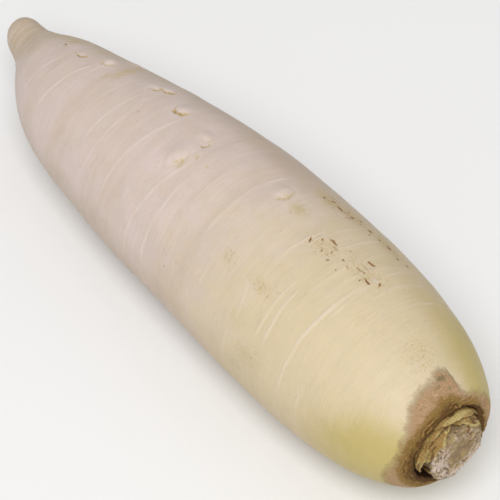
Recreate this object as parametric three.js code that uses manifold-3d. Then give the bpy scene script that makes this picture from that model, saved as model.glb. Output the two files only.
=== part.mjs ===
// A daikon radish lying on its side, its leaves trimmed off at the crown.
// Millimetres, +Z up. The root runs along X, with the tail at -X and the crown at +X, and it rests
// on Z = 0. The origin is under the middle of the object.

import * as THREE from "three";
import { mergeVertices } from "three/addons/utils/BufferGeometryUtils.js";
import Module from "manifold-3d";

const wasm = await Module();
wasm.setup();

// ---- Driving dimensions -------------------------------------------------------------------------

// Outline of the root's skin from the tip of the tail to the lip of the crown: [distance, radius].
const SKIN_OUTLINE = [
  [0, 0],
  [0.7, 5.6],
  [3.2, 7.8],
  [9, 9.1],
  [17, 10.6],
  [25, 14.4],
  [33, 18.8],
  [43, 23.1],
  [56, 27.2],
  [73, 30.8],
  [95, 34.4],
  [123, 38.2],
  [155, 40.8],
  [190, 42],
  [220, 42.2],
  [247, 41.3],
  [269, 38.7],
  [287, 34.8],
  [300, 29.4],
  [307.5, 24.6],
  [310.6, 21.2],
  [311.5, 19],
];

// The hollow that the stump stands in, from the lip to its floor: [distance, radius].
const HOLLOW_WALL = [
  [310.6, 18.2],
  [308, 17.6],
];
const HOLLOW_FLOOR = 306.2;
const HOLLOW_FLOOR_RADIUS = 17.3;

// How the root's middle line bends: [distance, sideways, height]. It sags a little at the tail, and
// the belly dips just below Z = 0, where the flesh is pressed flat.
const MIDDLE_LINE = [
  [0, 6.5, 35.5],
  [25, 1.8, 36.2],
  [60, -2.8, 37.2],
  [110, -1.6, 38.7],
  [170, -0.3, 40.9],
  [230, -2, 41.9],
  [312, -4.5, 42.3],
];

const SKIN_RINGS = 58;
const SKIN_SIDES = 40;

// Everything in the hollow keeps this gap to its neighbours.
const GAP = 0.3;
// The stump and the leaf bases narrow by this much for each millimetre that they rise.
const CROWN_TAPER = 0.008;

const STUMP_RADIUS = 13.2;
const STUMP_HEIGHT = 11.2;
const STUMP_EDGE = 0.9;

// The cut leaf bases stand round the stump in two whorls. A base is a crescent, thickest in its
// middle, and its cut top drops towards its two thin ends.
const INNER_WHORL = { radius: STUMP_RADIUS + GAP, thickness: 1.6, height: 9.6 };
const OUTER_WHORL = { radius: STUMP_RADIUS + 1.6 + 2 * GAP, thickness: 1.4, height: 5.8 };
const LEAF_BASE_END_THICKNESS = 0.5;
const LEAF_BASE_END_DROP = 0.35;
const LEAF_BASE_OUTLINE_STEPS = 10;

// Where each leaf base stands, in degrees from straight up, turning towards -Y: its middle, and how
// far it reaches to each side. A gap is left in each whorl where a base has rotted away.
const LEAF_BASES = [
  { name: "leaf_base_inner_1", whorl: INNER_WHORL, middle: -38, reach: 40 },
  { name: "leaf_base_inner_2", whorl: INNER_WHORL, middle: 48, reach: 42 },
  { name: "leaf_base_inner_3", whorl: INNER_WHORL, middle: 190, reach: 60 },
  { name: "leaf_base_outer_1", whorl: OUTER_WHORL, middle: -15, reach: 47 },
  { name: "leaf_base_outer_2", whorl: OUTER_WHORL, middle: 78, reach: 34 },
  { name: "leaf_base_outer_3", whorl: OUTER_WHORL, middle: 205, reach: 52 },
];

// ---- Materials ----------------------------------------------------------------------------------

function material(color, roughness) {
  return new THREE.MeshStandardMaterial({ color, roughness, metalness: 0 });
}

const skinMaterial = material(0xdccfb8, 0.5);
const stumpMaterial = material(0xb5a48c, 0.85);
const leafBaseMaterial = material(0xb3a45c, 0.7);

// ---- Shaping ------------------------------------------------------------------------------------

// Every piece is first made straight: its own Y is the root's length. This lays it along X.
function layAlongX(geometry) {
  return geometry.rotateZ(-Math.PI / 2);
}

const middleLine = new THREE.CatmullRomCurve3(
  MIDDLE_LINE.map(([along, side, height]) => new THREE.Vector3(along, side, height)),
  false,
  "centripetal",
);
const middlePoints = middleLine.getSpacedPoints(240);

// The middle line's sideways place and height at a distance from the tail, by straight steps.
function middleAt(along) {
  const last = middlePoints.length - 1;
  const after = middlePoints.findIndex((point) => point.x > along);
  const next = after < 0 ? last : Math.max(after, 1);
  const a = middlePoints[next - 1];
  const b = middlePoints[next];
  return a.clone().lerp(b, (along - a.x) / (b.x - a.x));
}

// Slides each cross-section onto the bent middle line, so pieces that were clear stay clear.
function bendToMiddleLine(geometry) {
  const position = geometry.getAttribute("position");
  for (let i = 0; i < position.count; i++) {
    const middle = middleAt(position.getX(i));
    position.setY(i, position.getY(i) + middle.y);
    position.setZ(i, position.getZ(i) + middle.z);
  }
  position.needsUpdate = true;
  return geometry;
}

// Narrows a crown piece as it rises from the hollow's floor.
function taperFromFloor(geometry) {
  const position = geometry.getAttribute("position");
  for (let i = 0; i < position.count; i++) {
    const scale = 1 - CROWN_TAPER * (position.getX(i) - HOLLOW_FLOOR);
    position.setY(i, position.getY(i) * scale);
    position.setZ(i, position.getZ(i) * scale);
  }
  return geometry;
}

function toSolid(geometry) {
  const bare = geometry.clone();
  bare.deleteAttribute("normal");
  bare.deleteAttribute("uv");
  const merged = mergeVertices(bare, 1e-4);
  return new wasm.Manifold(
    new wasm.Mesh({
      numProp: 3,
      vertProperties: merged.getAttribute("position").array,
      triVerts: new Uint32Array(merged.index.array),
    }),
  );
}

function toGeometry(solid) {
  const mesh = solid.getMesh();
  const geometry = new THREE.BufferGeometry();
  geometry.setAttribute("position", new THREE.BufferAttribute(mesh.vertProperties, 3));
  geometry.setIndex(new THREE.BufferAttribute(mesh.triVerts, 1));
  geometry.computeVertexNormals();
  return geometry;
}

// ---- Pieces -------------------------------------------------------------------------------------

// The root is one solid of revolution, bent, with its belly cut flat where it lies.
function rootGeometry() {
  const skin = new THREE.CatmullRomCurve3(
    SKIN_OUTLINE.map(([along, radius]) => new THREE.Vector3(radius, along, 0)),
    false,
    "centripetal",
  );
  const profile = skin.getSpacedPoints(SKIN_RINGS).map((p) => new THREE.Vector2(p.x, p.y));
  for (const [along, radius] of HOLLOW_WALL) {
    profile.push(new THREE.Vector2(radius, along));
  }
  profile.push(new THREE.Vector2(HOLLOW_FLOOR_RADIUS, HOLLOW_FLOOR));
  profile.push(new THREE.Vector2(0, HOLLOW_FLOOR));
  profile[0].x = 0;
  const bent = bendToMiddleLine(layAlongX(new THREE.LatheGeometry(profile, SKIN_SIDES)));

  const length = SKIN_OUTLINE.at(-1)[0];
  const depth = 20;
  const below = new THREE.BoxGeometry(length, 2 * length, depth);
  below.translate(length / 2, 0, -depth / 2);
  return toGeometry(toSolid(bent).subtract(toSolid(below)));
}

// The stump is the short cut stem, with a worn edge round its cut face.
function stumpGeometry() {
  const foot = HOLLOW_FLOOR + GAP;
  const face = HOLLOW_FLOOR + STUMP_HEIGHT;
  const profile = [
    new THREE.Vector2(0, foot),
    new THREE.Vector2(STUMP_RADIUS, foot),
    new THREE.Vector2(STUMP_RADIUS, (foot + face) / 2),
    new THREE.Vector2(STUMP_RADIUS, face - STUMP_EDGE),
    new THREE.Vector2(STUMP_RADIUS - STUMP_EDGE, face),
    new THREE.Vector2(0, face),
  ];
  const straight = layAlongX(new THREE.LatheGeometry(profile, SKIN_SIDES));
  return bendToMiddleLine(taperFromFloor(straight));
}

// A leaf base is a crescent that hugs the stump, extruded upwards from the hollow's floor.
function leafBaseGeometry({ whorl, middle, reach }) {
  // The outline is drawn from the shape's own +X, which lies at 90 degrees from straight up.
  const turn = THREE.MathUtils.degToRad(middle - 90);
  const halfAngle = THREE.MathUtils.degToRad(reach);
  const outer = [];
  const inner = [];
  for (let i = 0; i <= LEAF_BASE_OUTLINE_STEPS; i++) {
    const share = (2 * i) / LEAF_BASE_OUTLINE_STEPS - 1;
    const angle = turn + share * halfAngle;
    const swell = Math.cos((share * Math.PI) / 2);
    const thickness =
      LEAF_BASE_END_THICKNESS + (whorl.thickness - LEAF_BASE_END_THICKNESS) * swell;
    const direction = new THREE.Vector2(Math.cos(angle), Math.sin(angle));
    inner.unshift(direction.clone().multiplyScalar(whorl.radius));
    outer.push(direction.multiplyScalar(whorl.radius + thickness));
  }
  const crescent = new THREE.Shape([...outer, ...inner]);
  const geometry = new THREE.ExtrudeGeometry(crescent, {
    depth: whorl.height - GAP,
    steps: 2,
    bevelEnabled: false,
  });

  const position = geometry.getAttribute("position");
  for (let i = 0; i < position.count; i++) {
    const angle = Math.atan2(position.getY(i), position.getX(i)) - turn;
    const share = Math.atan2(Math.sin(angle), Math.cos(angle)) / halfAngle;
    position.setZ(i, position.getZ(i) * (1 - LEAF_BASE_END_DROP * share ** 2));
  }
  // The crescent's own Z becomes the root's length.
  geometry.rotateX(-Math.PI / 2);
  geometry.translate(0, HOLLOW_FLOOR + GAP, 0);
  return bendToMiddleLine(taperFromFloor(layAlongX(geometry)));
}

// ---- The object ---------------------------------------------------------------------------------

const daikon = new THREE.Group();

function addPiece(name, geometry, pieceMaterial) {
  const mesh = new THREE.Mesh(geometry, pieceMaterial.clone());
  mesh.name = name;
  daikon.add(mesh);
}

addPiece("root", rootGeometry(), skinMaterial);
addPiece("stem_stump", stumpGeometry(), stumpMaterial);
for (const leafBase of LEAF_BASES) {
  addPiece(leafBase.name, leafBaseGeometry(leafBase), leafBaseMaterial);
}

// The origin goes under the middle of the object.
const middle = new THREE.Box3().setFromObject(daikon).getCenter(new THREE.Vector3());
daikon.position.set(-middle.x, -middle.y, 0);

export default daikon;
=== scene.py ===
"""A daikon radish lying on its side, with its leaves trimmed off at the crown.

A place on the root is a distance from the tip of the tail, in millimetres, and an angle round the
root, from straight up and turning towards -Y. Shapes are worked out in millimetres in the frame of
the CAD model, and turned into metres when a mesh is made.
"""

import itertools
import math

import bpy
import numpy as np
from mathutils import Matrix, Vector


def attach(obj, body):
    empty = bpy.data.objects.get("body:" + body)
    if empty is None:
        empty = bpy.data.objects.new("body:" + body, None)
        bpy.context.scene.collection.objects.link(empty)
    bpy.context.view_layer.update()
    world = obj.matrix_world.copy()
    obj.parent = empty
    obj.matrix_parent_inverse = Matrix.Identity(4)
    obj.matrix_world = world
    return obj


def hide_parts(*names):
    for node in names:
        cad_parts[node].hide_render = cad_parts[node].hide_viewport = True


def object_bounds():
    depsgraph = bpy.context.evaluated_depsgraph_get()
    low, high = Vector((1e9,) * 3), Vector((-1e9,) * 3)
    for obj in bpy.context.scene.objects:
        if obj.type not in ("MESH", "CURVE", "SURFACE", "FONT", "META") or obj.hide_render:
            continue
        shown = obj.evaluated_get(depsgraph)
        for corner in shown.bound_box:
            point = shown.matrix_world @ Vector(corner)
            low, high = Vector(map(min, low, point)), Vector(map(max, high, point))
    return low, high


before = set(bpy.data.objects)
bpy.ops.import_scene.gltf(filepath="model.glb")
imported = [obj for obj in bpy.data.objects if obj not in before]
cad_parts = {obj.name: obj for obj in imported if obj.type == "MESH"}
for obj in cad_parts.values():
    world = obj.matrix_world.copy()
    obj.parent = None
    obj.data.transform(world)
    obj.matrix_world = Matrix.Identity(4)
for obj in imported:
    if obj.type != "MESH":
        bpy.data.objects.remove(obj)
cad_box = [list(corner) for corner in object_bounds()]

MM = 0.001

# ---- The root's skin ----------------------------------------------------------------------------

# The CAD root's rings are read above this height, clear of the flat belly.
BELLY_CLEAR = 20
# Past CROWN_START, a CAD ring with a smaller radius than this belongs to the hollow.
HOLLOW_RADIUS = 18.5
CROWN_START = 300.0

# Spacing of the skin's rows along the root: the nub of the tail, the body and the shoulders.
NUB_SPAN = 22.0
NUB_ROW = 0.6
BODY_ROW = 0.74
SHOULDER_SPAN = 26.0
SHOULDER_ROW = 0.38
SKIN_COLUMNS = 190
# Columns lie closest together round this angle, by this share of their even spacing.
FINE_ANGLE = 12.0
FINE_SHARE = 0.36

# Ridges where the skin grew in steps: distance, first and last angle, how far the ridge leans
# towards the crown at its first angle, and height.
GROWTH_RIDGES = [
    (48.5, 2, 62, 7, 0.17),
    (64.5, -8, 60, 9, 0.19),
    (85.0, -22, 20, 3, 0.06),
    (102.0, -14, 55, 6, 0.13),
    (112.0, 10, 80, 3, 0.08),
    (125.5, -12, 72, 8, 0.18),
    (139.0, 24, 66, 2, 0.07),
    (146.5, 6, 100, 13, 0.19),
    (160.0, 22, 90, 2, 0.18),
    (167.5, -38, 6, 3, 0.12),
    (172.0, 2, 34, 1, 0.10),
    (186.5, -30, 44, 3, 0.14),
    (197.5, 42, 66, -1, 0.14),
    (205.0, -44, -4, 2, 0.10),
    (211.0, 50, 84, 2, 0.07),
    (221.5, -12, 36, 3, 0.15),
    (221.0, 42, 62, -2, 0.12),
    (225.5, -36, 10, 2, 0.12),
    (234.0, 20, 66, 1, 0.16),
    (238.5, 24, 66, 0, 0.17),
    (235.0, -44, -4, 2, 0.15),
    (243.0, 4, 46, 1, 0.08),
    (252.5, -10, 88, 3, 0.26),
    (256.5, -40, 30, -2, 0.16),
    (262.0, -44, 4, 2, 0.10),
    (268.0, 30, 70, 1, 0.06),
]
RIDGE_WIDTH = 0.56
RIDGE_RISE = 1.15
HIDDEN_RIDGES = 58

# Where side roots broke off, each leaves a pale mound with a crease on one side, brown partly from
# the scar and partly as painted shadow under the mound: distance, angle, half length, half width,
# rise, direction of the crease (0 towards the crown, 90 down the side), depth of the crease and
# strength of its colour.
ROOTLET_SCARS = [
    (46.5, -9, 2.2, 1.8, 0.12, 60, 0.25, 0.80),
    (60.0, -9, 3.8, 2.4, 0.35, 60, 0.40, 1.10),
    (74.5, -17, 3.6, 3.8, 1.45, 62, 0.55, 0.65),
    (79.5, -35, 3.0, 3.6, 0.80, 20, 0.50, 0.60),
    (105.0, -17, 3.2, 2.6, 0.60, 50, 0.45, 0.85),
    (109.5, -22, 3.8, 3.0, 0.70, 50, 0.55, 1.10),
    (127.5, -12, 4.2, 4.2, 1.25, 82, 0.60, 0.90),
    (149.0, -4, 3.8, 2.8, 0.85, 60, 0.30, 0.40),
    (151.5, 1, 2.6, 2.1, -0.35, 40, 0.40, 1.10),
    (148.5, 17, 4.6, 6.4, 1.40, 10, 0.30, 0.30),
    (153.5, 20, 2.0, 2.4, -0.15, 180, 0.22, 0.40),
    (155.5, 11, 1.3, 1.2, 0.12, 30, 0.15, 0.45),
    (163.5, 12, 1.4, 0.9, 0.08, 30, 0.15, 0.70),
    (196.0, -8, 4.0, 5.0, 1.30, 5, 0.65, 0.60),
    # The row on the hidden side.
    (88.0, 172, 3.4, 3.0, 0.70, 80, 0.45, 0.80),
    (118.0, -163, 3.8, 3.4, 0.85, 100, 0.45, 0.90),
    (171.0, -158, 3.6, 4.2, 0.95, 60, 0.50, 0.70),
    (203.0, -150, 3.0, 3.0, 0.70, 80, 0.45, 0.80),
]

# Smudges of yellow: distance, angle, half length, half width and strength.
YELLOW_SMUDGES = [
    (153.0, 20, 3.0, 3.2, 0.9),
    (156.0, 11, 1.7, 1.5, 0.8),
    (163.5, 12, 1.5, 1.0, 0.9),
    (207.5, -7, 4.2, 3.6, 1.0),
    (199.5, -7, 2.4, 2.0, 0.6),
    (83.5, -1, 1.6, 3.5, 0.7),
    (86.5, -9, 2.4, 5.0, 1.0),
    (86.0, -19, 3.0, 5.5, 1.1),
    (85.5, -30, 2.4, 4.0, 0.9),
    (97.0, -36, 4.0, 3.0, 0.8),
    (36.0, -34, 12.0, 7.0, 0.9),
    (46.0, -20, 6.0, 4.0, 0.9),
    (62.0, -28, 8.0, 3.0, 0.7),
    (207.0, -31, 8.0, 4.5, 1.2),
    (220.0, -36, 10.0, 4.0, 1.2),
    (236.0, -39, 12.0, 4.0, 1.2),
    (252.0, -8, 10.0, 6.0, 0.6),
    (228.0, -2, 8.0, 6.0, 0.5),
    (205.0, 40, 5.0, 3.5, 0.6),
    (224.0, 40, 9.0, 3.5, 0.7),
    (232.0, 78, 8.0, 5.0, 0.7),
    (290.0, 0, 8.0, 9.0, 0.6),
    (222.0, -122, 16.0, 9.0, 0.8),
    (140.0, -95, 12.0, 5.0, 0.6),
    (70.0, -140, 12.0, 6.0, 0.7),
]

# Patches of small brown scuffs: distance, angle, half length, half width and strength.
SCUFF_PATCHES = [
    (230, -1, 13, 8, 0.75),
    (250, -9, 12, 7, 0.9),
    (214, -33, 13, 5, 1.2),
    (237, -39, 13, 4, 1.2),
    (204, 40, 6, 4, 0.5),
    (225, 41, 10, 4, 0.6),
    (236, 75, 8, 5, 0.75),
    (226, 92, 8, 5, 0.6),
    (293, 6, 8, 12, 0.55),
    (160, 12, 9, 6, 0.3),
    (110, -28, 12, 5, 0.5),
    (44, -18, 8, 6, 0.7),
    (228, -120, 16, 9, 0.8),
    (140, -95, 10, 6, 0.5),
]

# The darkest scratches: distance, angle, length, turn from the root's length, and half width.
SCRATCHES = [
    (230.5, -7, 4.6, 4, 0.50),
    (224.0, 2.5, 2.6, 50, 0.42),
    (247.5, -15, 4.2, -8, 0.55),
    (249.5, -7, 2.0, 0, 0.36),
    (254.5, -4, 4.4, -12, 0.48),
    (258.0, -9, 2.4, 60, 0.40),
    (236.5, 4, 2.0, 0, 0.40),
    (240.5, -3, 1.8, -20, 0.34),
    (231.0, 2, 1.6, 20, 0.34),
    (244.5, -1, 2.2, 10, 0.36),
    (238.0, -10, 1.8, 10, 0.34),
    (252.0, -1, 1.4, 30, 0.34),
    (227.0, -3, 1.3, 0, 0.34),
    (234.5, -1, 2.2, 70, 0.28),
    (242.5, 5, 1.2, 20, 0.30),
    (205.0, -29, 2.2, 30, 0.55),
    (208.0, -33, 3.0, 0, 0.65),
    (213.0, -32, 4.2, 5, 0.75),
    (216.0, -36, 1.6, 0, 0.60),
    (219.5, -34, 2.0, 30, 0.80),
    (221.5, -39, 1.8, 0, 0.80),
    (224.0, -35, 1.2, 60, 0.60),
    (229.0, -37, 2.6, -10, 0.85),
    (231.5, -33, 1.3, 20, 0.60),
    (235.0, -37, 1.6, 0, 0.60),
    (240.0, -39, 3.2, 15, 0.75),
    (247.0, -37, 1.4, 0, 0.50),
    (251.0, -41, 2.4, 0, 0.60),
    (46.5, -8, 1.6, 0, 0.50),
    (235.5, 76, 1.4, 0, 0.50),
]

# Where the white skin starts to turn cream, and how much further on it has turned.
CREAM_START = 164.0
CREAM_SPAN = 80.0
# Where it starts to turn green, and where it has turned.
GREEN_START = 246
GREEN_END = 300
# The middle of the paler tongue of skin that reaches the crown.
PALE_TONGUE = math.radians(24)

# Where the corky patch round the crown begins: [angle, distance].
CORK_EDGE = [
    (-180, 307.4),
    (-90, 307.8),
    (-45, 309.2),
    (-21, 309.2),
    (-15, 306.6),
    (-12, 300.5),
    (-4, 298.4),
    (4, 301.0),
    (18, 301.6),
    (31, 302.6),
    (42, 305.6),
    (52, 307.2),
    (62, 307.4),
    (73, 308.2),
    (90, 306.2),
    (105, 303.4),
    (125, 302.6),
    (150, 304.6),
    (180, 307.4),
]
# Where the cork turns dark brown: [angle, distance].
DARK_EDGE = [
    (-180, 310.2),
    (-60, 310.8),
    (-18, 310.9),
    (-3, 308.6),
    (6, 307.6),
    (16, 309.0),
    (34, 309.6),
    (55, 309.3),
    (72, 309.0),
    (95, 308.6),
    (130, 309.6),
    (180, 310.2),
]

# Grey-green spots in the cork, listed like the smudges.
GREY_SPOTS = [
    (301.8, -4, 1.3, 2.8, 1.0),
    (303.6, 2, 1.2, 1.6, 0.7),
    (309.2, -172, 1.4, 2.4, 0.8),
]

# The far part of the rim, where the cork is paler.
FAR_RIM = math.radians(-74)

WALL_RADIUS = 17.15
HOLLOW_FLOOR = 306.2
# Rows down the hollow's wall: how far past the lip, and what share of the way in to the wall.
WALL_ROWS = [(-0.1, 0.5), (-0.5, 0.85), (-1.2, 1.0), (-2.2, 1.0), (-3.4, 1.0), (-4.6, 1.0)]
# Radius of each ring across its floor.
FLOOR_RINGS = (17.2, 15.6, 13.6, 11, 7, 3)
# How dark the painted shade is on the first rows of the wall. The rest are fully shaded.
WALL_SHADE = (0.25, 0.55)
# How many rows of the wall have lighter painted shade at the far rim.
PALER_ROWS = 4

# ---- Numbers ------------------------------------------------------------------------------------

NOISE_SIDE = 64


def stacked(*parts):
    """Points or vectors from their separate coordinates."""
    return np.stack(np.broadcast_arrays(*parts), -1)


def soft_noise(points, seed):
    """Smooth random values from -1 to 1 at points, whose coordinates are in grains."""
    dimensions = points.shape[-1]
    table = np.random.default_rng(seed).uniform(-1, 1, (NOISE_SIDE,) * dimensions)
    cell = np.floor(points).astype(int)
    share = points - cell
    share = share * share * (3 - 2 * share)
    total = np.zeros(points.shape[:-1])
    for corner in itertools.product((0, 1), repeat=dimensions):
        index = tuple((cell[..., k] + corner[k]) % NOISE_SIDE for k in range(dimensions))
        weight = np.ones(points.shape[:-1])
        for k in range(dimensions):
            weight = weight * (share[..., k] if corner[k] else 1 - share[..., k])
        total += weight * table[index]
    return total


def layered_noise(points, seed, layers=3):
    """Soft noise with finer, weaker layers added to it."""
    total = np.zeros(points.shape[:-1])
    for layer in range(layers):
        total += soft_noise(points * 2**layer, seed + layer) / 2**layer
    return total


def hump(value, width):
    """1 where value is 0, fading smoothly to 0 over about twice the width."""
    return np.exp(-((value / width) ** 2))


def ramp(value, low, high):
    """0 below low, 1 above high, and smooth between them."""
    share = np.clip((value - low) / (high - low), 0, 1)
    return share * share * (3 - 2 * share)


def turn_between(angle, other):
    """The turn in radians from one angle to another, from -pi to pi."""
    return (angle - other + math.pi) % (2 * math.pi) - math.pi


def smooth_through(knots, values, places):
    """A smooth curve through the values at the knots, read at other places."""
    after = np.clip(np.searchsorted(knots, places), 1, len(knots) - 1)
    before = after - 1
    width = knots[after] - knots[before]
    t = np.clip((places - knots[before]) / width, 0, 1)
    slope = np.gradient(values, knots)
    return (
        values[before] * (1 + 2 * t) * (1 - t) ** 2
        + slope[before] * width * t * (1 - t) ** 2
        + values[after] * t * t * (3 - 2 * t)
        + slope[after] * width * t * t * (t - 1)
    )


# ---- Reading the CAD model ----------------------------------------------------------------------


def node_points(node):
    """A CAD node's vertices in millimetres."""
    return np.array([vertex.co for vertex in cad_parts[node].data.vertices]) / MM


def read_rings():
    """The CAD root's rings from the tail to the lip: distance, radius, and middle's y and z."""
    points = node_points("root")
    tail_tip = points[:, 0].min()
    upper = points[points[:, 2] > BELLY_CLEAR]
    upper_places = upper[:, 0].round(3)
    rings = []
    for place in np.unique(upper_places):
        ring = upper[upper_places == place]
        low_y, high_y = ring[:, 1].min(), ring[:, 1].max()
        radius = (high_y - low_y) / 2
        distance = place - tail_tip
        if distance > CROWN_START and radius < HOLLOW_RADIUS:
            continue
        rings.append((distance, radius, (low_y + high_y) / 2, ring[:, 2].max() - radius))
    return tail_tip, np.array(rings).T


tail_tip, (ring_distance, ring_radius, ring_y, ring_z) = read_rings()
ring_arc = np.concatenate(
    [[0], np.cumsum(np.hypot(np.diff(ring_distance), np.diff(ring_radius)))]
)
LIP_ARC = ring_arc[-1]


def middle_at(distance):
    """The y and z of the root's bent middle line."""
    return (
        smooth_through(ring_distance, ring_y, distance),
        smooth_through(ring_distance, ring_z, distance),
    )


def place_on_root(distance, radius, angle):
    """Points in millimetres in the CAD frame."""
    middle_y, middle_z = middle_at(distance)
    return stacked(
        tail_tip + distance,
        middle_y - radius * np.sin(angle),
        middle_z + radius * np.cos(angle),
    )


def arc_at(distance):
    return np.interp(distance, ring_distance, ring_arc)


# ---- Making meshes ------------------------------------------------------------------------------


def make_piece(name, points, faces, material, replaced, values=None, vectors=None):
    """A smooth mesh that rides on the root's body and stands for one CAD node."""
    mesh = bpy.data.meshes.new(name)
    mesh.from_pydata((points * MM).tolist(), [], faces)
    for attribute_name, value in (values or {}).items():
        attribute = mesh.attributes.new(attribute_name, "FLOAT", "POINT")
        attribute.data.foreach_set("value", np.ascontiguousarray(value, np.float32).ravel())
    for attribute_name, vector in (vectors or {}).items():
        attribute = mesh.attributes.new(attribute_name, "FLOAT_VECTOR", "POINT")
        attribute.data.foreach_set("vector", np.ascontiguousarray(vector, np.float32).ravel())
    mesh.polygons.foreach_set("use_smooth", [True] * len(mesh.polygons))
    mesh.materials.append(material)
    mesh.update()
    piece = bpy.data.objects.new(name, mesh)
    bpy.context.scene.collection.objects.link(piece)
    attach(piece, "root")
    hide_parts(replaced)
    return piece


def grid_faces(rows, columns, start=0):
    """Faces of a grid of vertices whose columns close on themselves."""
    faces = []
    for row in range(rows - 1):
        for column in range(columns):
            after = (column + 1) % columns
            lower = start + row * columns
            faces.append((lower + column, lower + after, lower + columns + after, lower + columns + column))
    return faces


def fan_faces(centre, first, columns, turned):
    """Triangles from one vertex to a ring of vertices."""
    faces = []
    for column in range(columns):
        pair = (first + column, first + (column + 1) % columns)
        faces.append((centre, *(pair[::-1] if turned else pair)))
    return faces


# ---- Shape of the root --------------------------------------------------------------------------


def ridge_profile(offset, width):
    """A thin ridge with a shallow dip on its crown side."""
    return hump(offset, width) - 0.45 * hump(offset - 1.9 * width, 1.3 * width)


def growth_ridges(distance, angle, around):
    """Height of the ridges that show how the skin grew, and how strongly their crests are painted paler,
    partly as painted highlight.
    """
    height = np.zeros(distance.shape)
    crest = np.zeros(distance.shape)
    wander = soft_noise(around / 13, 41) * 0.7 + soft_noise(around / 5, 42) * 0.22
    strength = 0.75 + 0.45 * soft_noise(around / 8, 43)
    rng = np.random.default_rng(17)
    ridges = list(GROWTH_RIDGES)
    for _ in range(HIDDEN_RIDGES):
        first = rng.uniform(0, 360)
        ridges.append(
            (
                rng.uniform(34, 292),
                first,
                first + rng.uniform(34, 110),
                rng.uniform(-3, 7),
                rng.uniform(0.03, 0.11),
            )
        )
    for ridge_distance, first, last, lean, rise in ridges:
        middle = math.radians((first + last) / 2)
        reach = math.radians((last - first) / 2)
        share = turn_between(angle, middle) / reach
        path = ridge_distance + lean * np.clip((1 - share) / 2, 0, 1.2) ** 2 + wander
        fade = (1 - ramp(abs(share), 0.62, 1.0)) * strength
        height += RIDGE_RISE * rise * fade * ridge_profile(distance - path, RIDGE_WIDTH)
        crest = np.maximum(crest, fade * rise / 0.2 * hump(distance - path, 0.8 * RIDGE_WIDTH))
    return height, crest


def rootlet_scars(distance, angle, radius):
    """Height, crease colour (partly the scar's brown, partly painted shadow) and pale tint of the scars
    where side roots broke off.
    """
    height = np.zeros(distance.shape)
    crease_tone = np.zeros(distance.shape)
    halo = np.zeros(distance.shape)
    rough = layered_noise(stacked(distance / 1.6, radius * angle / 1.6), 51)
    for place, turn, half_length, half_width, rise, crease_turn, depth, tone in ROOTLET_SCARS:
        along = (distance - place) / half_length
        across = radius * turn_between(angle, math.radians(turn)) / half_width
        reach = np.hypot(along, across) * (1 + 0.13 * rough)
        direction = np.arctan2(across, along)
        side = hump(turn_between(direction, math.radians(crease_turn)), 1.35)
        crease = hump(reach - 1.0, 0.17) * side
        height += rise * np.exp(-1.1 * reach**2) - depth * crease
        crease_tone = np.maximum(crease_tone, tone * crease)
        shifted = np.hypot(
            along - 0.55 * math.cos(math.radians(crease_turn)),
            across - 0.55 * math.sin(math.radians(crease_turn)),
        )
        halo = np.maximum(halo, min(1, 1.5 * tone) * np.exp(-0.8 * shifted**2))
    return height, crease_tone, halo


def patches(distance, angle, radius, places):
    """How strongly each point lies in a list of oval patches."""
    strength = np.zeros(distance.shape)
    for place, turn, half_length, half_width, share in places:
        along = (distance - place) / half_length
        across = radius * turn_between(angle, math.radians(turn)) / half_width
        strength = np.maximum(strength, share * np.exp(-(along**2) - across**2))
    return strength


def scratch_marks(distance, angle, radius):
    """A field that is above a half inside each dark scratch."""
    field = np.zeros(distance.shape)
    for place, turn, length, lean, half_width in SCRATCHES:
        along = distance - place
        across = radius * turn_between(angle, math.radians(turn))
        cosine, sine = math.cos(math.radians(lean)), math.sin(math.radians(lean))
        forward = along * cosine + across * sine
        sideways = -along * sine + across * cosine
        reach = np.hypot(forward / (length / 2), sideways / half_width)
        field = np.maximum(field, 1 - reach / 2)
    return field


def edge_distance(edge, arc, angle):
    """How far past an edge round the crown each point lies, in millimetres along the skin."""
    angles = np.radians([turn for turn, _ in edge])
    arcs = arc_at(np.array([distance for _, distance in edge]))
    return arc - np.interp(turn_between(angle, 0), angles, arcs)


def broad_shape(distance, around):
    """The low lumps and waists of a root that isn't quite round."""
    lumps = 0.42 * soft_noise(around / 46, 3) + 0.20 * soft_noise(around / 21, 4)
    waists = 0.13 * soft_noise(around * [1 / 9, 1 / 60, 1 / 60], 5)
    small = 0.05 * soft_noise(around / 7, 6)
    return (lumps + waists + small) * ramp(distance, 2, 40)


# The nub of the tail is moved this far from the plain solid. The move fades out over the span.
NUB_LIFT = (-0.9, 0.0, 0.7)
NUB_LIFT_SPAN = 22.0


def far_shoulder(distance, angle):
    """The fuller side of the tail's neck."""
    return 1.0 * hump(distance - 19, 9) * hump(turn_between(angle, math.radians(-59)), 0.8)


def tail_rings(distance, around):
    """Fine rings round the nub of the tail."""
    rings = soft_noise(around * [1 / 1.3, 1 / 22, 1 / 22], 8)
    return 0.13 * rings * (1 - ramp(distance, 18, 40)) * ramp(distance, 1, 6)


FOLD_WIDTH = 2.0
FOLD_RISE = 0.36


def crown_folds(arc, angle, around):
    """Broken rings of folds round the lip, from -1 in their valleys to 1 on their crests."""
    to_lip = LIP_ARC - arc
    circle = stacked(np.cos(angle), np.sin(angle))
    wander = 1.5 * soft_noise(circle * 2.6, 15) + 0.8 * soft_noise(circle * 9, 16)
    wander = wander + 0.7 * soft_noise(around / 1.7, 19)
    wave = np.cos(2 * math.pi * (to_lip + wander) / FOLD_WIDTH)
    broken = 0.15 + 0.85 * ramp(soft_noise(around / 2.6, 17), -0.35, 0.4)
    return wave * broken * (1 - ramp(to_lip, 2.6, 5.4))


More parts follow.
